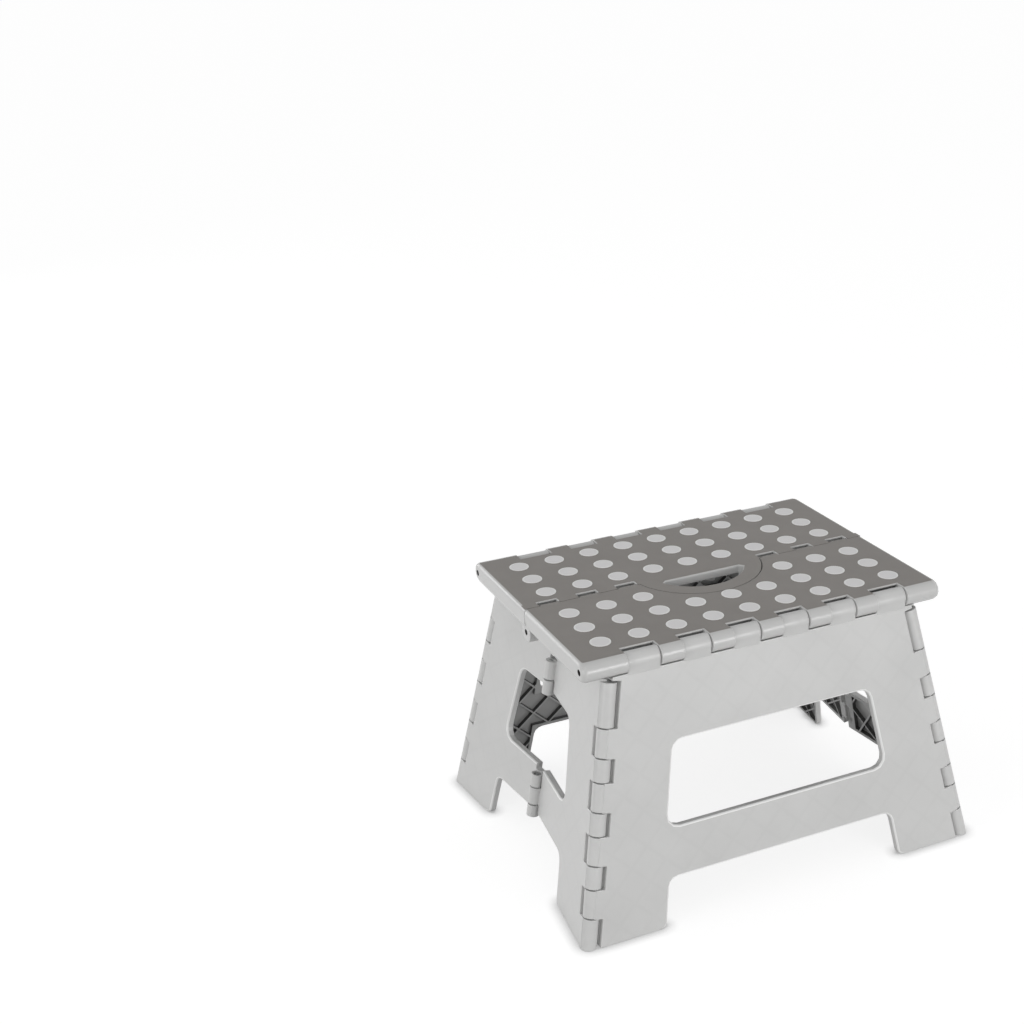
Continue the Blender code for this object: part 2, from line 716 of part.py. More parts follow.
def ear_solids(spans, reach):
    """Ears round the centre axis, each hanging from the deck by a web that may reach across the seam."""
    shape = bmesh.new()
    first = math.acos(reach / EAR_RADIUS)
    sweep = first + math.pi
    angles = [first - sweep * step / EAR_STEPS for step in range(EAR_STEPS + 1)]
    profile = [(EAR_RADIUS * math.cos(a), EAR_RADIUS * math.sin(a)) for a in angles]
    web_top = EDGE_RADIUS - TONGUE_DROP + CENTRE_DROP
    profile += [(-EAR_RADIUS, web_top), (reach, web_top)]
    turn = Matrix(((0, 0, 1), (1, 0, 0), (0, 1, 0))).to_4x4()
    place = Matrix.Translation((0, EDGE_Y, -CENTRE_DROP)) @ turn
    for low, high in spans:
        ear = slab([profile], low + KNUCKLE_GAP / 2, high - KNUCKLE_GAP / 2)
        bmesh.ops.transform(ear, matrix=place, verts=ear.verts)
        mesh = bpy.data.meshes.new("ear")
        ear.to_mesh(mesh)
        ear.free()
        shape.from_mesh(mesh)
        bpy.data.meshes.remove(mesh)
    return shape


def grip_dots(shape, skipped):
    """Raised round dots in rows along the deck; the row at the seam may leave out the middle columns."""
    for row in range(DOT_ROWS):
        for column in range(DOT_COLUMNS):
            from_middle = column - (DOT_COLUMNS - 1) / 2
            if row == 0 and abs(from_middle) < skipped:
                continue
            x = from_middle * DOT_PITCH_X
            y = EDGE_Y - DOT_FROM_SEAM - row * DOT_PITCH_Y
            low = Vector((x, y, EDGE_RADIUS - DECK_THICKNESS / 2))
            high = Vector((x, y, EDGE_RADIUS + DOT_HEIGHT))
            add_barrel(shape, low, high, DOT_RADIUS, DOT_SIDES)


def top_half(name, front):
    """Half of the top: deck, bullnose, end walls and ribs, with its half of the centre hinge."""
    top = piece(name, deck_block(), DECK)
    across = Vector((1, 0, 0))
    edge = HALF_LENGTH - WALL
    notch = PANEL_KNUCKLE_RADIUS + NOTCH_CLEARANCE
    near = notch + WALL
    far = SEAM_Y - WALL - (0.0 if front else TONGUE_REACH + SEAM_SLIT)
    field = [(-edge, far), (-edge, near), (edge, near), (edge, far)]
    if front:
        field += in_other_half(tab_outline(TAB_CLEARANCE + WALL, 2 * EDGE_Y - far))[::-1]
    cut(top, pockets([field], TOP_LATTICE, -EDGE_RADIUS - WALL, EDGE_RADIUS - DECK_THICKNESS))

    if front:
        hollow = in_other_half(tab_outline(TAB_CLEARANCE, EDGE_Y - WALL))
        cut(top, slab([hollow], -REACH, REACH))
        own, other, reach = tongue_spans(), rear_ear_spans(), TONGUE_REACH
    else:
        tab = [tab_outline(0.0, SEAM_Y - WALL / 2)]
        fuse(top, slab(tab, EDGE_RADIUS - TAB_THICKNESS, EDGE_RADIUS))
        cut(top, slab([slot_outline()], -REACH, REACH))
        own, other, reach = rear_ear_spans(), tongue_spans(), -SEAM_GAP

        # Finger room under the wall of the slot
        half = TAB_HALF_WIDTH - GRIP_WIDTH
        fingers = bmesh.new()
        low = (-half, far - WALL, -REACH)
        add_block(fingers, low, (half, EDGE_Y + WALL, EDGE_RADIUS - SLOT_WALL))
        cut(top, fingers)

    # Room for the ears of the other half, and for its tongues
    room = bmesh.new()
    for span in other:
        ends = along_axis(Vector((0, EDGE_Y, -CENTRE_DROP)), across, span, -END_PLAY)
        add_barrel(room, *ends, EAR_RADIUS + EAR_CLEARANCE, BARREL_SIDES)
    cut(top, room)
    if not front:
        notches = bmesh.new()
        depth = TONGUE_REACH + SEAM_SLIT
        for low, high in other:
            add_block(notches, (low, EDGE_Y - depth, -REACH), (high, EDGE_Y + WALL, REACH))
        cut(top, notches)
    fuse(top, ear_solids(own, reach))

    # Room for the knuckles of the leg panel
    room = bmesh.new()
    for low, high in edge_knuckles(front):
        start = (low - END_PLAY, -REACH, -REACH)
        add_block(room, start, (high + END_PLAY, notch, REACH))
    cut(top, room)

    # Behind them the deck overhangs, with the wall below it cut away
    undercut = bmesh.new()
    for low, high in edge_knuckles(front):
        start = (low, notch - WALL, -REACH)
        add_block(undercut, start, (high, near + WALL, EDGE_RADIUS - DECK_THICKNESS))
    cut(top, undercut)

    dots = bmesh.new()
    grip_dots(dots, 2 if front else 0)
    fuse(top, dots)

    bores = bmesh.new()
    radius = EDGE_PIN_RADIUS + PIN_CLEARANCE
    for place in (Vector(), Vector((0, EDGE_Y, -CENTRE_DROP))):
        add_barrel(bores, place - across * REACH, place + across * REACH, radius, BORE_SIDES)
    cut(top, bores)
    finish_shading(top)
    return top


def pin(name, start, end, radius):
    shape = bmesh.new()
    add_barrel(shape, start, end, radius, BORE_SIDES)
    made = piece(name, shape, STEEL)
    finish_shading(made)
    return made


def body(name, frame, pieces):
    """An empty on the axis that a group of pieces turns about, with the pieces parented to it."""
    pivot = bpy.data.objects.new(name + "_pivot", None)
    stool.objects.link(pivot)
    pivot.matrix_world = frame
    for made in pieces:
        made.parent = pivot


# Leg panels, each with the pins of its two corner hinges
for name, turn in (("front", Matrix.Identity(4)), ("rear", half_turn)):
    panel = leg_panel(name + "_panel", name == "front")
    carried = [panel]
    sides = ("left", "right") if name == "front" else ("right", "left")
    for side, label in zip((1, -1), sides):
        flip = Matrix.Diagonal((side, 1, 1))
        ends = along_axis(corner_foot, corner_way, (PIN_RECESS, corner_top - PIN_RECESS))
        pin_name = name + "_" + label + "_corner_pin"
        carried.append(pin(pin_name, *[flip @ end for end in ends], CORNER_PIN_RADIUS))
    body(name + "_panel", turn @ panel_frame, carried)

# Halves of the top, each with the pin of its own edge; the rear half also holds the centre pins
for name, turn in (("front", Matrix.Identity(4)), ("rear", half_turn)):
    top = top_half(name + "_top", name == "front")
    half = HALF_LENGTH - PIN_RECESS
    edge_ends = (Vector((-half, 0, 0)), Vector((half, 0, 0)))
    carried = [top, pin(name + "_edge_pin", *edge_ends, EDGE_PIN_RADIUS)]
    if name == "rear":
        inner = TONGUE_FIRST + KNUCKLE_GAP
        for side, label in ((1, "left"), (-1, "right")):
            start = Vector((side * inner, EDGE_Y, -CENTRE_DROP))
            end = Vector((side * half, EDGE_Y, -CENTRE_DROP))
            carried.append(pin(label + "_centre_pin", start, end, EDGE_PIN_RADIUS))
    body(name + "_top", turn @ top_frame, carried)

# Side leaves; the same two mouldings serve both sides, turned round
for left, right, frame, front in (
    ("left_front", "right_rear", front_leaf_frame, True),
    ("left_rear", "right_front", rear_leaf_frame, False),
):
    for name, turn in ((left, Matrix.Identity(4)), (right, half_turn)):
        carried = [side_leaf(name + "_leaf", frame, front)]
        if front:
            side = name.split("_")[0]
            lower = (SIDE_LOWER[0] + KNUCKLE_GAP, SIDE_LOWER[-1] - KNUCKLE_GAP)
            upper = (SIDE_UPPER[1] + KNUCKLE_GAP, SIDE_UPPER[2] - KNUCKLE_GAP)
            for label, heights in (("lower", lower), ("upper", upper)):
                ends = [side_axis_point(frame, z) for z in heights]
                carried.append(pin(f"{side}_{label}_side_pin", *ends, CORNER_PIN_RADIUS))
        body(name + "_leaf", turn @ frame, carried)
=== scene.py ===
import json
import math

import bpy
from mathutils import Matrix, Vector

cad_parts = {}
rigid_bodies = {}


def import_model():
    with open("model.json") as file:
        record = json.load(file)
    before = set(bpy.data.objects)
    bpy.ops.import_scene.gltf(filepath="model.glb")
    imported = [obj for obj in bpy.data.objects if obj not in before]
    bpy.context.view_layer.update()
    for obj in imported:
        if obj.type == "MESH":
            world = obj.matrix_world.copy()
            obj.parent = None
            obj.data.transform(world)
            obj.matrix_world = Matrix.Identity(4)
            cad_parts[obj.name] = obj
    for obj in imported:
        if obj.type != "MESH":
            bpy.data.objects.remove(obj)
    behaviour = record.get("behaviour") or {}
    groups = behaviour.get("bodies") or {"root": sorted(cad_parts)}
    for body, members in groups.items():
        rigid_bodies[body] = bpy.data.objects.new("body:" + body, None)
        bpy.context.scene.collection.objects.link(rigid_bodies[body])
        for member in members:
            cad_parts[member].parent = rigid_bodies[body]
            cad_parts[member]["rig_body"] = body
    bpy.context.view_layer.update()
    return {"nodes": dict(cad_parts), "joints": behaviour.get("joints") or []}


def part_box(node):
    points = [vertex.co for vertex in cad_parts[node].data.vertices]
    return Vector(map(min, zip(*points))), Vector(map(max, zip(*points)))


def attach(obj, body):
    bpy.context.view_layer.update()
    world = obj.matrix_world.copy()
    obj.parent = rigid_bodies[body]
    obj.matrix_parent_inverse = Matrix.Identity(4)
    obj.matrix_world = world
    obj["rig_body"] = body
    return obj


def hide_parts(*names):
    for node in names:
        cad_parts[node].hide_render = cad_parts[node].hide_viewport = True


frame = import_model()
cad_nodes = frame["nodes"]
hinges = {joint["name"]: joint for joint in frame["joints"]}

# Leg panels: two like plates with a wide window, an arch between the feet and knuckles on three edges,
# injection moulded in light grey polypropylene. The outside is satin from the mould's spark texture, with
# faint slanting sink marks over the ribs, and the inside is hollowed to a diamond lattice of thin ribs.
edge_axis = Vector(hinges["front_top_fold"]["pos_m"])
# A panel slopes as far as its hinge turns when the stool folds
panel_slope = math.radians(hinges["front_top_fold"]["range_deg"][1])
front_plane = Matrix.Translation(edge_axis) @ Matrix.Rotation(panel_slope, 4, "X")
half_turn = Matrix.Rotation(math.pi, 4, "Z")
panel_planes = {"front_panel": front_plane, "rear_panel": half_turn @ front_plane}
panel_face = 0.0035
skin = 0.0020
ribbed_depth = 0.0055
rim_rounding = 0.0014
rounding_steps = 2
crease = math.radians(35)
weld = 0.00001
flatness = math.radians(0.5)
flat_on = 0.99
edge_on = 0.1

# The moulding's ribs stand 40 mm apart, and a finer rib goes between each pair. They fill the field between
# two outlines on the plan of a panel, of which these are the right halves.
lattice_pitch = 0.040
rib_pitch = lattice_pitch / 2
finer_rib_lines = range(-15, 16, 2)
rib_width = 0.0019
rib_draft = 0.75
rib_sink = 0.0002
arch_foot_and_head = [(0.0988, -0.1705), (0.1049, -0.2091), (0.1560, -0.2091), (0.1178, -0.0105)]
window_sill_and_head = [(0.0970, -0.1340), (0.0857, -0.0645)]
panel_rib_field = []
for half in (arch_foot_and_head, window_sill_and_head):
    panel_rib_field.append(half + [(-x, y) for x, y in reversed(half)])
openings_half_width = 0.110
openings_head = -0.030

# The notches in the side edges run up the slant of the corner, and the knuckles stand along the top edge.
corner_foot = (0.1650, -0.20998)
corner_slant = math.atan(0.1922)
foot_notch = (0.0026, 0.0230)
first_notch = 0.0456
notch_pitch = 0.0405
notch_spans = [foot_notch]
for i, length in enumerate((0.0181, 0.0181, 0.0181, 0.0347)):
    start = first_notch + i * notch_pitch
    notch_spans.append((start, start + length))
notch_lip_reach = (0.0063, 0.0073)
notch_lip_depth = (-0.0019, -0.0011)
panel_knuckle = 0.0222
top_knuckle = 0.0188
end_knuckle_extra = 0.0039
knuckle_shift = 0.003
knuckle_radius = 0.0074
knuckle_sides = 48
knuckle_play = 0.0004
knuckle_rounding = 0.0004
knuckle_front = 0.0058
skirt_start = math.radians(105)
skirt_end = math.radians(179)
skirt_foot = Vector((-0.0100, 0.0034))
knuckle_spans = []
for i, extra in enumerate((0, 0, end_knuckle_extra)):
    near_end = top_knuckle / 2 + i * (panel_knuckle + top_knuckle)
    far_end = near_end + panel_knuckle + extra
    knuckle_spans.append((knuckle_shift + near_end, knuckle_shift + far_end))
    knuckle_spans.append((knuckle_shift - far_end, knuckle_shift - near_end))


def srgb(code):
    """Linear colour of an sRGB hex value."""
    parts = [int(code[i : i + 2], 16) / 255 for i in (1, 3, 5)]
    linear = [p / 12.92 if p <= 0.04045 else ((p + 0.055) / 1.055) ** 2.4 for p in parts]
    return (*linear, 1.0)


def node(tree, kind, inputs=None, **settings):
    """Adds a shader node; each input, by name or number, gets a socket to link or a value."""
    made = tree.nodes.new(kind)
    for name, value in settings.items():
        setattr(made, name, value)
    for name, value in (inputs or {}).items():
        if isinstance(value, bpy.types.NodeSocket):
            tree.links.new(value, made.inputs[name])
        else:
            made.inputs[name].default_value = value
    return made


def new_material(name):
    """A material with its node tree and its shader."""
    made = bpy.data.materials.new(name)
    made.use_nodes = True
    return made, made.node_tree, made.node_tree.nodes["Principled BSDF"]


def edge_shading(tree, reach):
    """The normal with sharp edges shaded round, and how much of an edge a spot is."""
    rounded = node(tree, "ShaderNodeBevel", {"Radius": reach}, samples=6).outputs["Normal"]
    facing = node(tree, "ShaderNodeNewGeometry").outputs["Normal"]
    along = node(tree, "ShaderNodeVectorMath", {0: rounded, 1: facing}, operation="DOT_PRODUCT")
    edge = node(
        tree,
        "ShaderNodeMapRange",
        {"Value": along.outputs["Value"], "From Min": 0.99, "From Max": 0.80},
    )
    return rounded, edge.outputs["Result"]


# Injection-moulded polypropylene: an even light grey with a soft satin sheen, with a painted highlight along
# its edges and rims.
# The spark texture's pits of about 0.1 mm are drawn at 0.8 mm so that they show. The walls and floors of the
# pockets are drawn darker, for the shade that a lattice of the real depth would have.
polypropylene_ior = 1.49
pit_size = 0.0008
pit_depth = 0.0002
plate_patch = 0.0417
edge_reach = 0.0012
sink_reach = 0.0026
pocket_wall_shade = 1.0
pocket_floor_shade = 0.45
rib_shade = 0.30
plate_plastic, tree, shader = new_material("moulded_light_grey_polypropylene")
place = node(tree, "ShaderNodeTexCoord").outputs["Object"]
plan = node(tree, "ShaderNodeUVMap", uv_map="plate_plan").outputs["UV"]
turned = node(
    tree,
    "ShaderNodeMapping",
    {"Vector": plan, "Rotation": (0, 0, math.pi / 4), "Scale": (1 / rib_pitch, 1 / rib_pitch, 1)},
)
across = node(tree, "ShaderNodeSeparateXYZ", {"Vector": turned.outputs["Vector"]})
near_x = node(tree, "ShaderNodeMath", {0: across.outputs["X"], 1: 0.5}, operation="PINGPONG")
near_y = node(tree, "ShaderNodeMath", {0: across.outputs["Y"], 1: 0.5}, operation="PINGPONG")
nearest = node(
    tree, "ShaderNodeMath", {0: near_x.outputs[0], 1: near_y.outputs[0]}, operation="MINIMUM"
)
sink = node(
    tree,
    "ShaderNodeMapRange",
    {"Value": nearest.outputs[0], "From Max": sink_reach / rib_pitch, "To Min": 1.0, "To Max": 0.0},
    interpolation_type="SMOOTHSTEP",
).outputs["Result"]
cloud = node(
    tree,
    "ShaderNodeTexNoise",
    {"Vector": place, "Scale": 1 / plate_patch, "Detail": 4.0, "Roughness": 0.6},
).outputs["Fac"]
pits = node(tree, "ShaderNodeTexNoise", {"Vector": place, "Scale": 1 / pit_size, "Detail": 2.0})
rounded, edge = edge_shading(tree, edge_reach)
tone = node(tree, "ShaderNodeMapRange", {"Value": cloud, "From Min": 0.3, "From Max": 0.7})
body = node(
    tree,
    "ShaderNodeMix",
    {"Factor": tone.outputs["Result"], 6: srgb("#CDCDCC"), 7: srgb("#D2D2D1")},
    data_type="RGBA",
)
# The sink marks are drawn a shade darker along the ribs: painted shade of their shallow dents.
marked = node(
    tree,
    "ShaderNodeMix",
    {"Factor": sink, 6: body.outputs[2], 7: srgb("#FDFDFD")},
    data_type="RGBA",
    blend_type="MULTIPLY",
)
pocket = node(tree, "ShaderNodeAttribute", attribute_name="pocket_shade").outputs["Fac"]
outside = node(tree, "ShaderNodeMath", {0: pocket, 1: 0.1}, operation="LESS_THAN")
# Painted highlight: edges and the rounded rims of the openings are drawn paler, towards #F0F0EF.
rim = node(tree, "ShaderNodeAttribute", attribute_name="rim_painted_highlight").outputs["Fac"]
edge_or_rim = node(tree, "ShaderNodeMath", {0: edge, 1: rim}, operation="MAXIMUM")
outer_edge = node(
    tree, "ShaderNodeMath", {0: edge_or_rim.outputs[0], 1: outside.outputs[0]}, operation="MULTIPLY"
)
painted_edge_highlight = node(
    tree,
    "ShaderNodeMix",
    {"Factor": outer_edge.outputs[0], 6: marked.outputs[2], 7: srgb("#F0F0EF")},
    data_type="RGBA",
)
pocketed = node(
    tree,
    "ShaderNodeMix",
    {"Factor": pocket, 6: painted_edge_highlight.outputs[2], 7: srgb("#585857")},
    data_type="RGBA",
)
gloss = node(
    tree,
    "ShaderNodeMapRange",
    {"Value": cloud, "From Min": 0.3, "From Max": 0.7, "To Min": 0.31, "To Max": 0.39},
)
sunk = node(
    tree,
    "ShaderNodeBump",
    {"Height": sink, "Normal": rounded, "Strength": 0.08, "Distance": pit_depth},
    invert=True,
)
pitted = node(
    tree,
    "ShaderNodeBump",
    {
        "Height": pits.outputs["Fac"],
        "Normal": sunk.outputs["Normal"],
        "Strength": 0.10,
        "Distance": pit_depth,
    },
)
tree.links.new(pocketed.outputs[2], shader.inputs["Base Color"])
tree.links.new(gloss.outputs["Result"], shader.inputs["Roughness"])
tree.links.new(pitted.outputs["Normal"], shader.inputs["Normal"])
shader.inputs["IOR"].default_value = polypropylene_ior


def moulding(node_name):
    """A welded copy of a CAD node, ready to be worked on."""
    bpy.ops.object.select_all(action="DESELECT")
    made = bpy.data.objects.new(node_name + "_moulding", cad_nodes[node_name].data.copy())
    bpy.context.scene.collection.objects.link(made)
    made.select_set(True)
    bpy.context.view_layer.objects.active = made
    bpy.ops.object.mode_set(mode="EDIT")
    bpy.ops.mesh.select_all(action="SELECT")
    bpy.ops.mesh.remove_doubles(threshold=weld)
    bpy.ops.mesh.dissolve_limited(angle_limit=flatness)
    bpy.ops.object.mode_set(mode="OBJECT")
    return made


def round_edges(target, chosen, width):
    """Rounds the edges of a piece for which the choice, given their ends and two normals, is true."""
    bpy.ops.object.mode_set(mode="EDIT")
    bpy.ops.mesh.select_mode(type="EDGE")
    bpy.ops.mesh.select_all(action="DESELECT")
    bpy.ops.object.mode_set(mode="OBJECT")
    beside = {}
    for face in target.data.polygons:
        for key in face.edge_keys:
            beside.setdefault(key, []).append(face.normal)
    for edge in target.data.edges:
        first, second = (target.data.vertices[i].co for i in edge.vertices)
        normals = beside[edge.key]
        edge.select = len(normals) == 2 and chosen(first, second, normals)
    bpy.ops.object.mode_set(mode="EDIT")
    bpy.ops.mesh.bevel(offset=width, segments=rounding_steps, affect="EDGES", clamp_overlap=False)
    bpy.ops.object.mode_set(mode="OBJECT")


def smooth(target):
    """Smooth shading over the round stretches, with the flats kept flat."""
    bpy.ops.object.shade_smooth_by_angle(angle=crease)
    flats = target.modifiers.new("flats", "WEIGHTED_NORMAL")
    flats.keep_sharp = True
    bpy.ops.object.modifier_apply(modifier=flats.name)


def stretches_inside(loops, start, way):
    """Stretches of a line that lie inside the outer loop and outside the inner ones."""
    crossings = []
    for loop in loops:
        for i, corner in enumerate(loop):
            first = Vector(corner)
            side = Vector(loop[(i + 1) % len(loop)]) - first
            turn = way.cross(side)
            if turn and 0 <= (first - start).cross(way) / turn < 1:
                crossings.append((first - start).cross(side) / turn)
    crossings.sort()
    return list(zip(crossings[::2], crossings[1::2]))


def shade_plate(plate, flat, outward, face_level, loops, at_opening):
    """Marks the rims of the openings for a painted highlight, and the pockets for painted shade, face by
    face.
    """
    level_play = 0.0005
    look_ahead = 0.0006
    draft = 0.3
    shine = [0.0] * len(plate.data.polygons)
    shade = [0.0] * len(plate.data.polygons)
    for face in plate.data.polygons:
        depth = face_level - (flat @ face.center).z
        slope = face.normal.dot(outward)
        # Rounded rims of the openings get a painted highlight; the pocket faces below get painted shade.
        if edge_on < slope < flat_on and depth < rim_rounding and at_opening(flat @ face.center):
            shine[face.index] = 1.0
        spot = (flat @ (face.center + face.normal * look_ahead)).xy
        in_field = any(a < 0 < b for a, b in stretches_inside(loops, spot, Vector((1, 0))))
        if slope < -flat_on and in_field and depth < skin + level_play:
            shade[face.index] = pocket_floor_shade
        elif slope < -flat_on and abs(depth - ribbed_depth) < level_play:
            shade[face.index] = rib_shade
        elif abs(slope) < draft and in_field and depth > skin - rib_sink:
            shade[face.index] = pocket_wall_shade
    for name, values in (("pocket_shade", shade), ("rim_painted_highlight", shine)):
        plate.data.attributes.new(name, "FLOAT", "FACE").data.foreach_set("value", values)


def plate_moulding(node_name, plane, face_level, loops, at_opening):
    """A moulding with the outer rims of its openings rounded and its plan laid out as a UV map."""
    level_play = 0.00003
    made = moulding(node_name)
    flat = plane.inverted()
    outward = plane.to_3x3() @ Vector((0, 0, 1))

    def on_rim(first, second, normals):
        if any(abs((flat @ end).z - face_level) > level_play for end in (first, second)):
            return False
        wall, face = sorted(abs(normal.dot(outward)) for normal in normals)
        return wall < edge_on and face > flat_on and at_opening(flat @ ((first + second) / 2))

    round_edges(made, on_rim, rim_rounding)
    smooth(made)
    shade_plate(made, flat, outward, face_level, loops, at_opening)
    for layer in list(made.data.uv_layers):
        made.data.uv_layers.remove(layer)
    layout = made.data.uv_layers.new(name="plate_plan")
    for loop in made.data.loops:
        on_plate = flat @ made.data.vertices[loop.vertex_index].co
        layout.data[loop.index].uv = on_plate.xy
    return made


def joined_copies(placed):
    """One object made of copies of patterns, each pattern given with the place of its copy."""
    copies = []
    for pattern, place in placed:
        copy = pattern.copy()
        copy.data = pattern.data.copy()
        bpy.context.scene.collection.objects.link(copy)
        copy.matrix_world = place
        copies.append(copy)
    bpy.ops.object.select_all(action="DESELECT")
    for copy in copies:
        copy.select_set(True)
    bpy.context.view_layer.objects.active = copies[0]
    bpy.ops.object.transform_apply(location=True, rotation=True, scale=True)
    bpy.ops.object.join()
    return copies[0]


def join_to(target, addition):
    """Joins an object to a piece."""
    bpy.ops.object.select_all(action="DESELECT")
    addition.select_set(True)
    target.select_set(True)
    bpy.context.view_layer.objects.active = target
    bpy.ops.object.join()


def add_box(low, high):
    """A box between two opposite corners."""
    bpy.ops.object.select_all(action="DESELECT")
    bpy.ops.mesh.primitive_cube_add(size=1.0, location=(Vector(low) + Vector(high)) / 2)
    made = bpy.context.object
    made.dimensions = Vector(high) - Vector(low)
    bpy.ops.object.transform_apply(location=True, rotation=True, scale=True)
    return made


def add_ribs(plate, plane, loops, face_level):
    """Thin drafted ribs between those of the moulding, so that the lattice is as fine as the real one."""
    low = face_level - ribbed_depth
    high = face_level - skin + rib_sink
    pattern = add_box((-0.5, -rib_width / 2, low), (0.5, rib_width / 2, high))
    bpy.ops.object.mode_set(mode="EDIT")
    bpy.ops.mesh.select_all(action="DESELECT")
    bpy.ops.object.mode_set(mode="OBJECT")
    for face in pattern.data.polygons:
        face.select = face.normal.z < -flat_on
    bpy.ops.object.mode_set(mode="EDIT")
    bpy.ops.transform.resize(value=(1, rib_draft, 1))
    bpy.ops.object.mode_set(mode="OBJECT")
    pattern.data.attributes.new("pocket_shade", "FLOAT", "FACE")
    for face, shade in zip(pattern.data.polygons, pattern.data.attributes["pocket_shade"].data):
        shade.value = rib_shade if face.normal.z < -flat_on else pocket_wall_shade
    placed = []
    for way in (Vector((1, 1)).normalized(), Vector((1, -1)).normalized()):
        along = Matrix.Rotation(math.atan2(way.y, way.x), 4, "Z")
        for line in finer_rib_lines:
            start = Vector((-way.y, way.x)) * (line * rib_pitch)
            for near_end, far_end in stretches_inside(loops, start, way):
                middle = start + way * (near_end + far_end) / 2
                length = Matrix.Diagonal((far_end - near_end, 1, 1, 1))
                placed.append((pattern, plane @ Matrix.Translation(middle.to_3d()) @ along @ length))
    join_to(plate, joined_copies(placed))
    bpy.data.objects.remove(pattern)


def add_notch_lips(plate, plane):
    """A thin lip on the wall of each notch in the side edges, which closes the gap behind the knuckle."""
    inner, outer = notch_lip_reach
    rear, front = notch_lip_depth
    pattern = add_box(((inner - outer) / 2, -0.5, rear), ((outer - inner) / 2, 0.5, front))
    placed = []
    for side in (-1, 1):
        corner = Matrix.Translation((side * corner_foot[0], corner_foot[1], 0))
        slant = Matrix.Rotation(side * corner_slant, 4, "Z")
        for low, high in notch_spans:
            middle = Matrix.Translation((-side * (inner + outer) / 2, (low + high) / 2, 0))
            length = Matrix.Diagonal((1, high - low, 1, 1))
            placed.append((pattern, plane @ corner @ slant @ middle @ length))
    join_to(plate, joined_copies(placed))
    bpy.data.objects.remove(pattern)


def edge_knuckle(length):
    """A knuckle round the X axis, flatter in front, where it slopes down to the face of the plate."""
    bpy.ops.object.select_all(action="DESELECT")
    bpy.ops.mesh.primitive_cylinder_add(
        vertices=knuckle_sides, radius=knuckle_radius, depth=length, rotation=(0, math.pi / 2, 0)
    )
    made = bpy.context.object
    bpy.ops.object.transform_apply(location=True, rotation=True, scale=True)
    start = Vector((knuckle_radius * math.cos(skirt_start), knuckle_front * math.sin(skirt_start)))
    for vertex in made.data.vertices:
        angle = math.atan2(vertex.co.z, vertex.co.y)
        if skirt_start < angle < skirt_end:
            share = (angle - skirt_start) / (math.pi - skirt_start)
            vertex.co.yz = start.lerp(skirt_foot, share)
        elif vertex.co.z > 0:
            vertex.co.z *= knuckle_front / knuckle_radius
    for face in made.data.polygons:
        face.select = abs(face.normal.x) > flat_on
    bpy.ops.object.mode_set(mode="EDIT")
    bpy.ops.mesh.select_mode(type="FACE")
    bpy.ops.mesh.bevel(offset=knuckle_rounding, segments=rounding_steps, affect="EDGES")
    bpy.ops.object.mode_set(mode="OBJECT")
    bpy.ops.object.shade_smooth_by_angle(angle=crease)
    return made


def add_knuckles(plate, plane, spans):
    """The knuckles along the top edge of a leg panel, copied from one pattern for each length."""
    patterns = {}
    placed = []
    for low, high in spans:
        length = round(high - low - knuckle_play, 6)
        if length not in patterns:
            patterns[length] = edge_knuckle(length)
        placed.append((patterns[length], plane @ Matrix.Translation(((low + high) / 2, 0, 0))))
    join_to(plate, joined_copies(placed))
    for pattern in patterns.values():
        bpy.data.objects.remove(pattern)


def dress(made, node_name, finish):
    """Gives a finished piece its material and puts it in the place of a CAD node."""
    made.data.materials.clear()
    made.data.materials.append(finish)
    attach(made, cad_nodes[node_name]["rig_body"])
    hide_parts(node_name)


def at_panel_opening(spot):
    """Whether a spot on the plan of a leg panel is at its window or its arch."""
    return abs(spot.x) < openings_half_width and spot.y < openings_head


for node_name, plane in panel_planes.items():
    panel = plate_moulding(node_name, plane, panel_face, panel_rib_field, at_panel_opening)
    add_notch_lips(panel, plane)
    add_ribs(panel, plane, panel_rib_field, panel_face)
    side = 1 if node_name == "front_panel" else -1
    add_knuckles(panel, plane, [sorted(side * x for x in span) for span in knuckle_spans])
    dress(panel, node_name, plate_plastic)

# Side leaves: four plates of the same moulded polypropylene, two to a side, which meet in a hinge at mid
# side. Each has half of the side window, one foot and the same ribbed hollow inside. On its plan the corner
# is the Y axis, and its ribs fill an outline round the foot, the arch, the window and the upper hinge.
leaf_face = 0.0062
# A leaf stands off its panel's plane by what the turn of its hinge leaves of a half turn
leaf_turn = math.pi - math.radians(hinges["left_front_leaf_fold"]["range_deg"][1])
leaf_rib_field = [
    (0.0089, 0.2020),
    (0.0089, 0.0026),
    (0.0585, 0.0117),
    (0.0580, 0.0509),
    (0.1146, 0.0614),
    (0.1087, 0.0970),
    (0.0553, 0.0870),
    (0.0579, 0.1588),
    (0.0970, 0.1658),
    (0.0907, 0.2042),
    (0.0870, 0.2035),
    (0.0850, 0.2165),
]
corner_strip = 0.030
hinge_strip_foot = 0.1248
hinge_strip_slope = 0.1657
leaf_openings_head = 0.170


def at_leaf_opening(spot):
    """Whether a spot on the plan of a leaf is at its half of the window, its arch or its foot."""
    hinge_strip = hinge_strip_foot - hinge_strip_slope * spot.y
    return corner_strip < abs(spot.x) < hinge_strip and spot.y < leaf_openings_head


for node_name, panel_name, side in (
    ("left_front_leaf", "front_panel", -1),
    ("right_rear_leaf", "rear_panel", -1),
    ("left_rear_leaf", "rear_panel", 1),
    ("right_front_leaf", "front_panel", 1),
):
    plane = (
        Matrix.Translation(hinges[node_name + "_fold"]["pos_m"])
        @ panel_planes[panel_name].to_3x3().to_4x4()
        @ Matrix.Rotation(side * corner_slant, 4, "Z")
        @ Matrix.Rotation(side * leaf_turn, 4, "Y")
    )
    field = [(side * x, y) for x, y in leaf_rib_field]
    leaf = plate_moulding(node_name, plane, leaf_face, [field], at_leaf_opening)
    add_ribs(leaf, plane, [field], leaf_face)
    dress(leaf, node_name, plate_plastic)

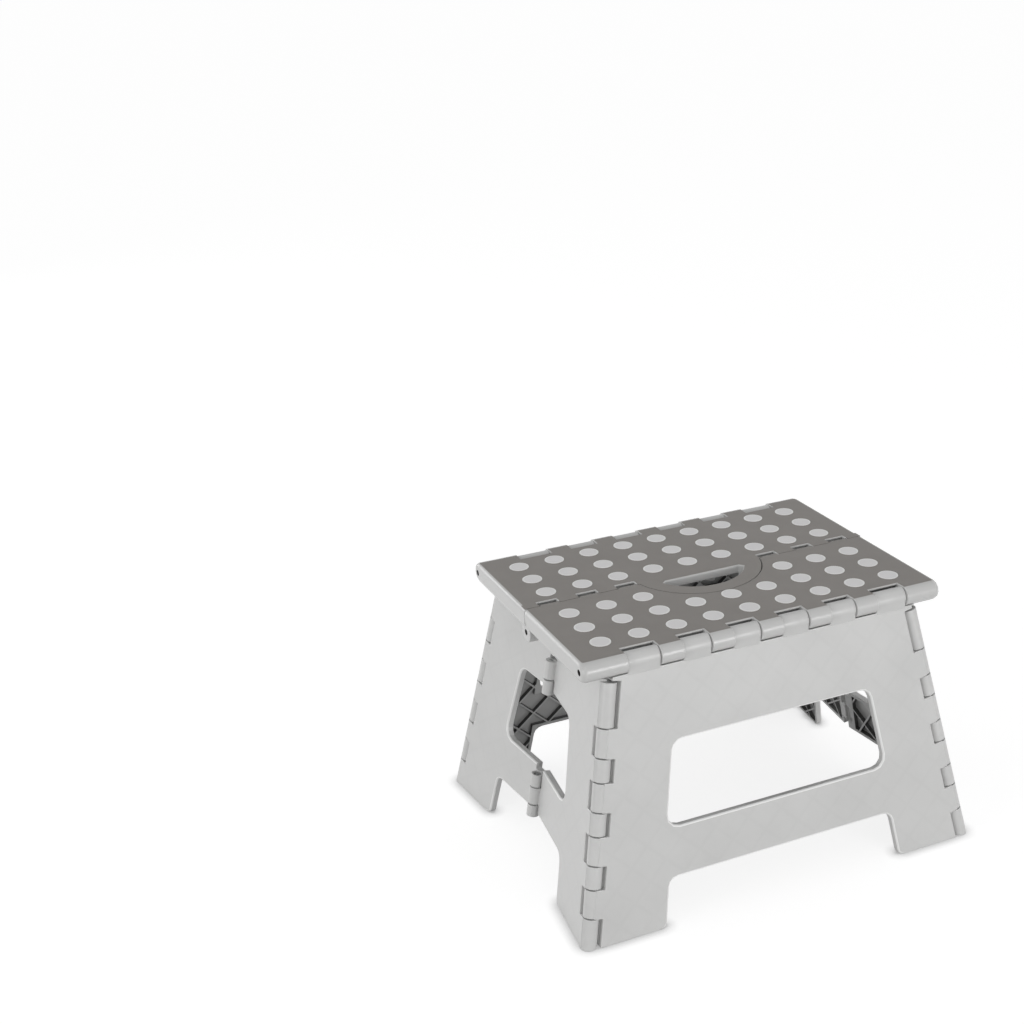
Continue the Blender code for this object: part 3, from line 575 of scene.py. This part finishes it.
# Halves of the top: moulded in the light grey of the plates, with a thin taupe layer on the flat of the deck
# only, so that the bullnose, the ends and the walls of the openings stay light. The deck ends in a thin edge
# over the knuckles of the leg panel, with slits along the seam and round holes for the pins in its ends.
deck_level = 0.215
deck_underside = 0.212
underside = 0.199
end_x = 0.150
end_margin = 0.02
edge_y = -edge_axis.y
edge_z = edge_axis.z
centre_z = hinges["centre_fold"]["pos_m"][2]
thin_edge_y = 0.0922
thin_edge_underside = 0.2131
groove_wall = (0.0867, 0.0882)
seam_y = 0.0023
slit_starts = (0.0546, 0.0875, 0.1204)
slit_length = 0.0164
slit_front = 0.0035
slit_end = 0.0082
slit_groove = 0.0112
slit_wall = 0.0127
slot_half_length = 0.0385
slot_span = (-0.0275, -0.0025)
hole_radius = 0.0023
hole_depth = 0.0065
hole_sides = 24
deck_rounding = 0.0013
cut_low = 0.185
cut_high = 0.220
overlap = 0.001
into_deck = 0.0005
place_play = 0.0001
dot_rise = 0.0005

# Injection-moulded polypropylene in two colours: a matt taupe deck, and a glossier light grey body with a
# painted highlight along its edges. Both have the plates' spark texture, drawn as coarse. The insides of the
# bores get painted shade.
taupe_depth = 0.00045
taupe_fade = 0.0002
deck_patch = 0.0333
bore_shade = 0.0026
bore_shade_core = 0.0024
top_finish, tree, shader = new_material("moulded_polypropylene_with_taupe_deck")
place = node(tree, "ShaderNodeTexCoord").outputs["Object"]
height = node(tree, "ShaderNodeSeparateXYZ", {"Vector": place})
deck = node(
    tree,
    "ShaderNodeMapRange",
    {
        "Value": height.outputs["Z"],
        "From Min": deck_level - taupe_depth,
        "From Max": deck_level - taupe_depth + taupe_fade,
    },
    interpolation_type="SMOOTHSTEP",
).outputs["Result"]
cloud = node(
    tree,
    "ShaderNodeTexNoise",
    {"Vector": place, "Scale": 1 / deck_patch, "Detail": 4.0, "Roughness": 0.6},
)
pits = node(tree, "ShaderNodeTexNoise", {"Vector": place, "Scale": 1 / pit_size, "Detail": 2.0})
rounded, edge = edge_shading(tree, edge_reach)
tone = node(
    tree,
    "ShaderNodeMapRange",
    {"Value": cloud.outputs["Fac"], "From Min": 0.3, "From Max": 0.7},
)
taupe = node(
    tree,
    "ShaderNodeMix",
    {"Factor": tone.outputs["Result"], 6: srgb("#85817D"), 7: srgb("#8B8783")},
    data_type="RGBA",
)
# Painted highlight: the light grey is drawn paler towards its edges.
light = node(
    tree,
    "ShaderNodeMix",
    {"Factor": edge, 6: srgb("#C9C9C8"), 7: srgb("#E4E4E3")},
    data_type="RGBA",
)
colour = node(
    tree,
    "ShaderNodeMix",
    {"Factor": deck, 6: light.outputs[2], 7: taupe.outputs[2]},
    data_type="RGBA",
)
# Painted shade: the insides of the pin holes and the centre bore are drawn dark, #3C3B3A, where shade falls.
for axis_y, axis_z in ((edge_y, edge_z), (-edge_y, edge_z), (0.0, centre_z)):
    from_axis = node(tree, "ShaderNodeVectorMath", {0: place, 1: (0, axis_y, axis_z)}, operation="SUBTRACT")
    square = node(
        tree, "ShaderNodeVectorMath", {0: from_axis.outputs[0], 1: (0, 1, 1)}, operation="MULTIPLY"
    )
    radius = node(tree, "ShaderNodeVectorMath", {0: square.outputs[0]}, operation="LENGTH")
    inside = node(
        tree,
        "ShaderNodeMapRange",
        {"Value": radius.outputs["Value"], "From Min": bore_shade, "From Max": bore_shade_core},
    )
    colour = node(
        tree,
        "ShaderNodeMix",
        {"Factor": inside.outputs["Result"], 6: colour.outputs[2], 7: srgb("#3C3B3A")},
        data_type="RGBA",
    )
gloss = node(tree, "ShaderNodeMapRange", {"Value": deck, "To Min": 0.25, "To Max": 0.58})
pitted = node(
    tree,
    "ShaderNodeBump",
    {"Height": pits.outputs["Fac"], "Normal": rounded, "Strength": 0.14, "Distance": pit_depth},
)
tree.links.new(colour.outputs[2], shader.inputs["Base Color"])
tree.links.new(gloss.outputs["Result"], shader.inputs["Roughness"])
tree.links.new(pitted.outputs["Normal"], shader.inputs["Normal"])
shader.inputs["IOR"].default_value = polypropylene_ior


def add_bore(place, radius, length):
    """A round bore along X, about a place."""
    bpy.ops.object.select_all(action="DESELECT")
    bpy.ops.mesh.primitive_cylinder_add(
        vertices=hole_sides, radius=radius, depth=length, location=place, rotation=(0, math.pi / 2, 0)
    )
    made = bpy.context.object
    bpy.ops.object.transform_apply(location=True, rotation=True, scale=True)
    return made


def join_and_apply(target, tools, operation):
    """Cuts a set of shapes out of a piece, or joins them to it."""
    bpy.ops.object.select_all(action="DESELECT")
    for tool in tools:
        tool.select_set(True)
    bpy.context.view_layer.objects.active = tools[0]
    bpy.ops.object.join()
    change = target.modifiers.new(operation.lower(), "BOOLEAN")
    change.operation = operation
    change.object = tools[0]
    change.solver = "EXACT"
    bpy.ops.object.select_all(action="DESELECT")
    target.select_set(True)
    bpy.context.view_layer.objects.active = target
    bpy.ops.object.modifier_apply(modifier=change.name)
    bpy.data.objects.remove(tools[0])


def at_deck_opening(first, second, normals):
    """Edges at deck level round the notches, the seam slits and the hand slot."""
    if min(first.z, second.z) < deck_level - place_play / 2:
        return False
    if min(abs(normal.z) for normal in normals) > edge_on or max(normal.z for normal in normals) < flat_on:
        return False
    middle = (first + second) / 2
    at_notch = abs(middle.y) > thin_edge_y - place_play and abs(middle.x) < end_x - end_margin
    beside_seam = seam_y < middle.y < slit_end + place_play
    at_slit = beside_seam and abs(middle.x) > slit_starts[0] - place_play
    at_slot = slot_span[0] < middle.y < slot_span[1] and abs(middle.x) < slot_half_length
    return at_notch or at_slit or at_slot


slits = [(start, start + slit_length) for start in slit_starts]
slits += [(-high, -low) for low, high in slits]
for node_name, side in (("front_top", -1), ("rear_top", 1)):
    top = moulding(node_name)
    for vertex in top.data.vertices:
        # The coarse dots of the CAD deck go just below its face, under the round ones
        if vertex.co.z > deck_level + dot_rise / 2:
            vertex.co.z = deck_level - dot_rise / 2
        # The deck thins out over the knuckles of the leg panel
        at_thin_edge = abs(abs(vertex.co.y) - thin_edge_y) < place_play
        if at_thin_edge and abs(vertex.co.z - deck_underside) < place_play:
            vertex.co.z = thin_edge_underside
    holes = [(side * edge_y, edge_z)]
    if side > 0:
        holes.append((0.0, centre_z))
    cuts = []
    for end in (-1, 1):
        for y, z in holes:
            middle = end * (end_x - hole_depth / 2 + overlap)
            cuts.append(add_bore((middle, y, z), hole_radius, hole_depth + 2 * overlap))
    walls = []
    y_low, y_high = sorted(side * y for y in groove_wall)
    for span in knuckle_spans:
        low, high = sorted(-side * x for x in span)
        wall_top = (high + overlap, y_high, deck_underside + into_deck)
        walls.append(add_box((low - overlap, y_low, underside), wall_top))
    grooves = []
    if side > 0:
        for low, high in slits:
            cuts.append(add_box((low, slit_front, cut_low), (high, slit_end, cut_high)))
            groove_top = (high, slit_groove, thin_edge_underside)
            grooves.append(add_box((low, slit_end - overlap, cut_low), groove_top))
            wall_top = (high + overlap, slit_wall, deck_underside + into_deck)
            walls.append(add_box((low - overlap, slit_groove, underside), wall_top))
    join_and_apply(top, cuts, "DIFFERENCE")
    if grooves:
        join_and_apply(top, grooves, "DIFFERENCE")
    join_and_apply(top, walls, "UNION")
    round_edges(top, at_deck_opening, deck_rounding)
    smooth(top)
    dress(top, node_name, top_finish)

# Grip dots: round studs of soft pale thermoplastic elastomer, moulded into the deck in three rows of nine on
# each half, less those that the hand slot's tab takes. Each has a raised rim and a slightly dished face.
dot_radius = 0.0080
dot_sides = 40
dot_pitch = 0.0307
dot_rows = (0.02205, 0.04951, 0.07697)
dot_columns = range(-4, 5)
dot_crease = math.radians(40)
dot_edge = 0.0003
dot_edge_drop = 0.0002
dot_rim = 0.0007
dish_slope = 0.0006
dish_depth = 0.00022
dish_ring = 0.0030
dish_crown = 0.00006

# Thermoplastic elastomer: matt and pale, a little lighter on its raised rim, partly in its own tone and
# partly as a painted highlight. Its grain of about 0.2 mm is drawn at 1.1 mm so that it shows.
grain_size = 0.00111
grain_depth = 0.0002
dot_patch = 0.0167
rim_share = (0.76, 0.88)
dot_finish, tree, shader = new_material("moulded_pale_grip_elastomer")
place = node(tree, "ShaderNodeTexCoord").outputs["Object"]
grain = node(tree, "ShaderNodeTexNoise", {"Vector": place, "Scale": 1 / grain_size, "Detail": 3.0})
cloud = node(tree, "ShaderNodeTexNoise", {"Vector": place, "Scale": 1 / dot_patch, "Detail": 2.0})
tone = node(
    tree,
    "ShaderNodeMapRange",
    {"Value": cloud.outputs["Fac"], "From Min": 0.3, "From Max": 0.7},
)
pale = node(
    tree,
    "ShaderNodeMix",
    {"Factor": tone.outputs["Result"], 6: srgb("#E6E5E6"), 7: srgb("#EAE9E9")},
    data_type="RGBA",
)
plan = node(tree, "ShaderNodeUVMap", uv_map="dot_plan").outputs["UV"]
from_middle = node(tree, "ShaderNodeVectorMath", {0: plan}, operation="LENGTH")
rim = node(
    tree,
    "ShaderNodeMapRange",
    {"Value": from_middle.outputs["Value"], "From Min": rim_share[0], "From Max": rim_share[1]},
    interpolation_type="SMOOTHSTEP",
)
# The raised rim is drawn paler: partly its own tone, partly a painted highlight.
rimmed = node(
    tree,
    "ShaderNodeMix",
    {"Factor": rim.outputs["Result"], 6: pale.outputs[2], 7: srgb("#F2F2F1")},
    data_type="RGBA",
)
grained = node(
    tree,
    "ShaderNodeBump",
    {"Height": grain.outputs["Fac"], "Strength": 0.2, "Distance": grain_depth},
)
tree.links.new(rimmed.outputs[2], shader.inputs["Base Color"])
tree.links.new(grained.outputs["Normal"], shader.inputs["Normal"])
shader.inputs["Roughness"].default_value = 0.55

bpy.ops.object.select_all(action="DESELECT")
bpy.ops.mesh.primitive_cylinder_add(vertices=dot_sides, radius=dot_radius, depth=2 * dot_rise)
dot_pattern = bpy.context.object
for face in dot_pattern.data.polygons:
    face.select = face.normal.z > flat_on
bpy.ops.object.mode_set(mode="EDIT")
bpy.ops.mesh.select_mode(type="FACE")
bpy.ops.mesh.inset(thickness=dot_edge, depth=0.0)
bpy.ops.mesh.inset(thickness=dot_rim, depth=0.0)
bpy.ops.mesh.inset(thickness=dish_slope, depth=-dish_depth)
bpy.ops.mesh.inset(thickness=dish_ring, depth=dish_crown)
bpy.ops.object.mode_set(mode="OBJECT")
for vertex in dot_pattern.data.vertices:
    at_edge = vertex.co.xy.length > dot_radius - place_play
    if at_edge and vertex.co.z > 0:
        vertex.co.z -= dot_edge_drop
bpy.ops.object.shade_smooth_by_angle(angle=dot_crease)
for layer in list(dot_pattern.data.uv_layers):
    dot_pattern.data.uv_layers.remove(layer)
layout = dot_pattern.data.uv_layers.new(name="dot_plan")
for loop in dot_pattern.data.loops:
    layout.data[loop.index].uv = dot_pattern.data.vertices[loop.vertex_index].co.xy / dot_radius
for node_name, side, left_out in (("front_top", -1, (-1, 0, 1)), ("rear_top", 1, ())):
    placed = []
    for from_seam in dot_rows:
        for column in dot_columns:
            if from_seam > dot_rows[0] or column not in left_out:
                spot = (column * dot_pitch, side * from_seam, deck_level)
                placed.append((dot_pattern, Matrix.Translation(spot)))
    grip = joined_copies(placed)
    grip.name = node_name + "_grip_dots"
    grip.data.materials.append(dot_finish)
    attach(grip, node_name)
bpy.data.objects.remove(dot_pattern)

# Hinge pins: straight pieces of bright drawn steel wire with broken ends, pushed into the bores of the
# knuckles. Only their ends show, deep in the holes.
wire_sides = 20
wire_break = 0.0003

# Drawn steel: bright, with an uneven gloss along the wire. The marks of the die, a few hundredths of a
# millimetre fine, are drawn at 1.4 mm so that they show.
die_mark = 0.00143
die_mark_depth = 0.0001
wire_finish, tree, shader = new_material("drawn_steel_wire")
place = node(tree, "ShaderNodeTexCoord").outputs["Object"]
drawn = node(tree, "ShaderNodeTexNoise", {"Vector": place, "Scale": 1 / die_mark, "Detail": 3.0})
gloss = node(
    tree, "ShaderNodeMapRange", {"Value": drawn.outputs["Fac"], "To Min": 0.22, "To Max": 0.42}
)
scored = node(
    tree,
    "ShaderNodeBump",
    {"Height": drawn.outputs["Fac"], "Strength": 0.15, "Distance": die_mark_depth},
)
tree.links.new(gloss.outputs["Result"], shader.inputs["Roughness"])
tree.links.new(scored.outputs["Normal"], shader.inputs["Normal"])
shader.inputs["Base Color"].default_value = srgb("#C4C6C8")
shader.inputs["Metallic"].default_value = 1.0

for node_name in sorted(name for name in cad_nodes if name.endswith("_pin")):
    corners = [vertex.co.copy() for vertex in cad_nodes[node_name].data.vertices]
    low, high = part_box(node_name)
    axis = max(range(3), key=lambda i: high[i] - low[i])
    middle = (low + high) / 2
    ends = []
    for at_end in (False, True):
        group = [corner for corner in corners if (corner[axis] > middle[axis]) == at_end]
        ends.append(sum(group, Vector()) / len(group))
    way = ends[1] - ends[0]
    radius = max((corner - ends[0]).cross(way.normalized()).length for corner in corners)
    bpy.ops.object.select_all(action="DESELECT")
    bpy.ops.mesh.primitive_cylinder_add(
        vertices=wire_sides,
        radius=radius,
        depth=way.length,
        location=(ends[0] + ends[1]) / 2,
        rotation=way.to_track_quat("Z", "Y").to_euler(),
    )
    wire = bpy.context.object
    wire.name = node_name + "_wire"
    bpy.ops.object.transform_apply(location=True, rotation=True, scale=True)
    for face in wire.data.polygons:
        face.select = abs(face.normal.dot(way.normalized())) > flat_on
    bpy.ops.object.mode_set(mode="EDIT")
    bpy.ops.mesh.bevel(offset=wire_break, segments=rounding_steps, affect="EDGES")
    bpy.ops.object.mode_set(mode="OBJECT")
    bpy.ops.object.shade_smooth_by_angle(angle=crease)
    dress(wire, node_name, wire_finish)

# Floor: a sheet of white background paper that runs out of sight, lying loose under the feet. It is matt. The
# camera sees it white, with the stool's soft shadow kept and a narrow painted contact shadow beside the feet.
floor_size = 40.0
white_level = 0.83
painted_shadow_level = 0.32
painted_shadow_reach = 0.010
bpy.ops.object.select_all(action="DESELECT")
bpy.ops.mesh.primitive_plane_add(size=floor_size, location=(0, 0, 0))
floor = bpy.context.object
floor.name = "floor"
paper, tree, shader = new_material("white_background_paper")
tree.nodes.remove(shader)
rays = node(tree, "ShaderNodeLightPath")
seen = node(
    tree,
    "ShaderNodeMath",
    {0: rays.outputs["Is Camera Ray"], 1: rays.outputs["Is Glossy Ray"]},
    operation="MAXIMUM",
)
lit = node(tree, "ShaderNodeBsdfDiffuse", {"Color": srgb("#D0D0D0")})
shade = node(tree, "ShaderNodeBsdfDiffuse", {"Color": srgb("#959595")})
# Painted shadow: the white that the camera sees is drawn darker within 10 mm of the feet, by occlusion.
contact = node(tree, "ShaderNodeAmbientOcclusion", {"Distance": painted_shadow_reach}, samples=8)
glow_level = node(
    tree,
    "ShaderNodeMapRange",
    {"Value": contact.outputs["AO"], "From Min": 0.5, "To Min": painted_shadow_level, "To Max": white_level},
)
glow = node(
    tree, "ShaderNodeEmission", {"Color": srgb("#FFFFFF"), "Strength": glow_level.outputs["Result"]}
)
shadowed = node(tree, "ShaderNodeAddShader", {0: shade.outputs[0], 1: glow.outputs[0]})
shown = node(
    tree, "ShaderNodeMixShader", {0: seen.outputs[0], 1: lit.outputs[0], 2: shadowed.outputs[0]}
)
tree.links.new(shown.outputs[0], tree.nodes["Material Output"].inputs["Surface"])
floor.data.materials.append(paper)

# Light: a white studio tent, dimmer overhead than at the sides, with large low soft boxes in front, at the
# left and behind, all turned to the middle of the stool.
tent_level = 0.68
overhead_level = 0.44
stool_middle = Vector((0, 0, 0.1))
world = bpy.data.worlds.new("white_studio_tent")
bpy.context.scene.world = world
world.use_nodes = True
tree = world.node_tree
rays = node(tree, "ShaderNodeLightPath")
seen = node(
    tree,
    "ShaderNodeMath",
    {0: rays.outputs["Is Camera Ray"], 1: rays.outputs["Is Glossy Ray"]},
    operation="MAXIMUM",
)
way = node(tree, "ShaderNodeTexCoord").outputs["Object"]
height = node(tree, "ShaderNodeSeparateXYZ", {"Vector": way})
tent = node(
    tree,
    "ShaderNodeMapRange",
    {"Value": height.outputs["Z"], "To Min": tent_level, "To Max": overhead_level},
)
strength = node(tree, "ShaderNodeMix", {0: seen.outputs[0], 2: tent.outputs["Result"], 3: 1.0})
tree.nodes["Background"].inputs["Color"].default_value = srgb("#FFFFFF")
tree.links.new(strength.outputs[0], tree.nodes["Background"].inputs["Strength"])
for name, place, size, power in (
    ("front_soft_box", Vector((0.75, -2.1, 0.40)), 0.9, 15.0),
    ("left_soft_box", Vector((-2.1, -0.5, 0.5)), 1.0, 9.5),
    ("rear_soft_box", Vector((-1.3, 1.9, 0.5)), 1.2, 9.0),
):
    lamp_data = bpy.data.lights.new(name, "AREA")
    lamp_data.shape = "DISK"
    lamp_data.size = size
    lamp_data.energy = power
    lamp = bpy.data.objects.new(name, lamp_data)
    bpy.context.scene.collection.objects.link(lamp)
    aim = (stool_middle - place).to_track_quat("-Z", "Y")
    lamp.matrix_world = Matrix.Translation(place) @ aim.to_matrix().to_4x4()

# Camera: at the front left, a little above the top, with the frame shifted so that the stool stands at the
# lower right, as in the photograph.
camera_place = Vector((-0.5244, -0.9754, 0.6985))
azimuth, elevation, roll = (math.radians(a) for a in (-23.738, 24.212, -2.085))
focal_length_mm = 53.86
sensor_width_mm = 36.0
frame_width_pixels = 1024
frame_shift_pixels = 78
back = Vector(
    (
        math.sin(azimuth) * math.cos(elevation),
        -math.cos(azimuth) * math.cos(elevation),
        math.sin(elevation),
    )
)
right = Vector((math.cos(azimuth), math.sin(azimuth), 0))
up = back.cross(right)
turned_right = right * math.cos(roll) + up * math.sin(roll)
turned_up = up * math.cos(roll) - right * math.sin(roll)
camera_data = bpy.data.cameras.new("camera")
camera_data.lens = focal_length_mm
camera_data.sensor_width = sensor_width_mm
camera_data.shift_x = -frame_shift_pixels / frame_width_pixels
camera_data.shift_y = frame_shift_pixels / frame_width_pixels
camera = bpy.data.objects.new("camera", camera_data)
bpy.context.scene.collection.objects.link(camera)
camera.matrix_world = (
    Matrix.Translation(camera_place)
    @ Matrix((turned_right, turned_up, back)).transposed().to_4x4()
)
bpy.context.scene.camera = camera
bpy.context.scene.view_settings.view_transform = "Standard"
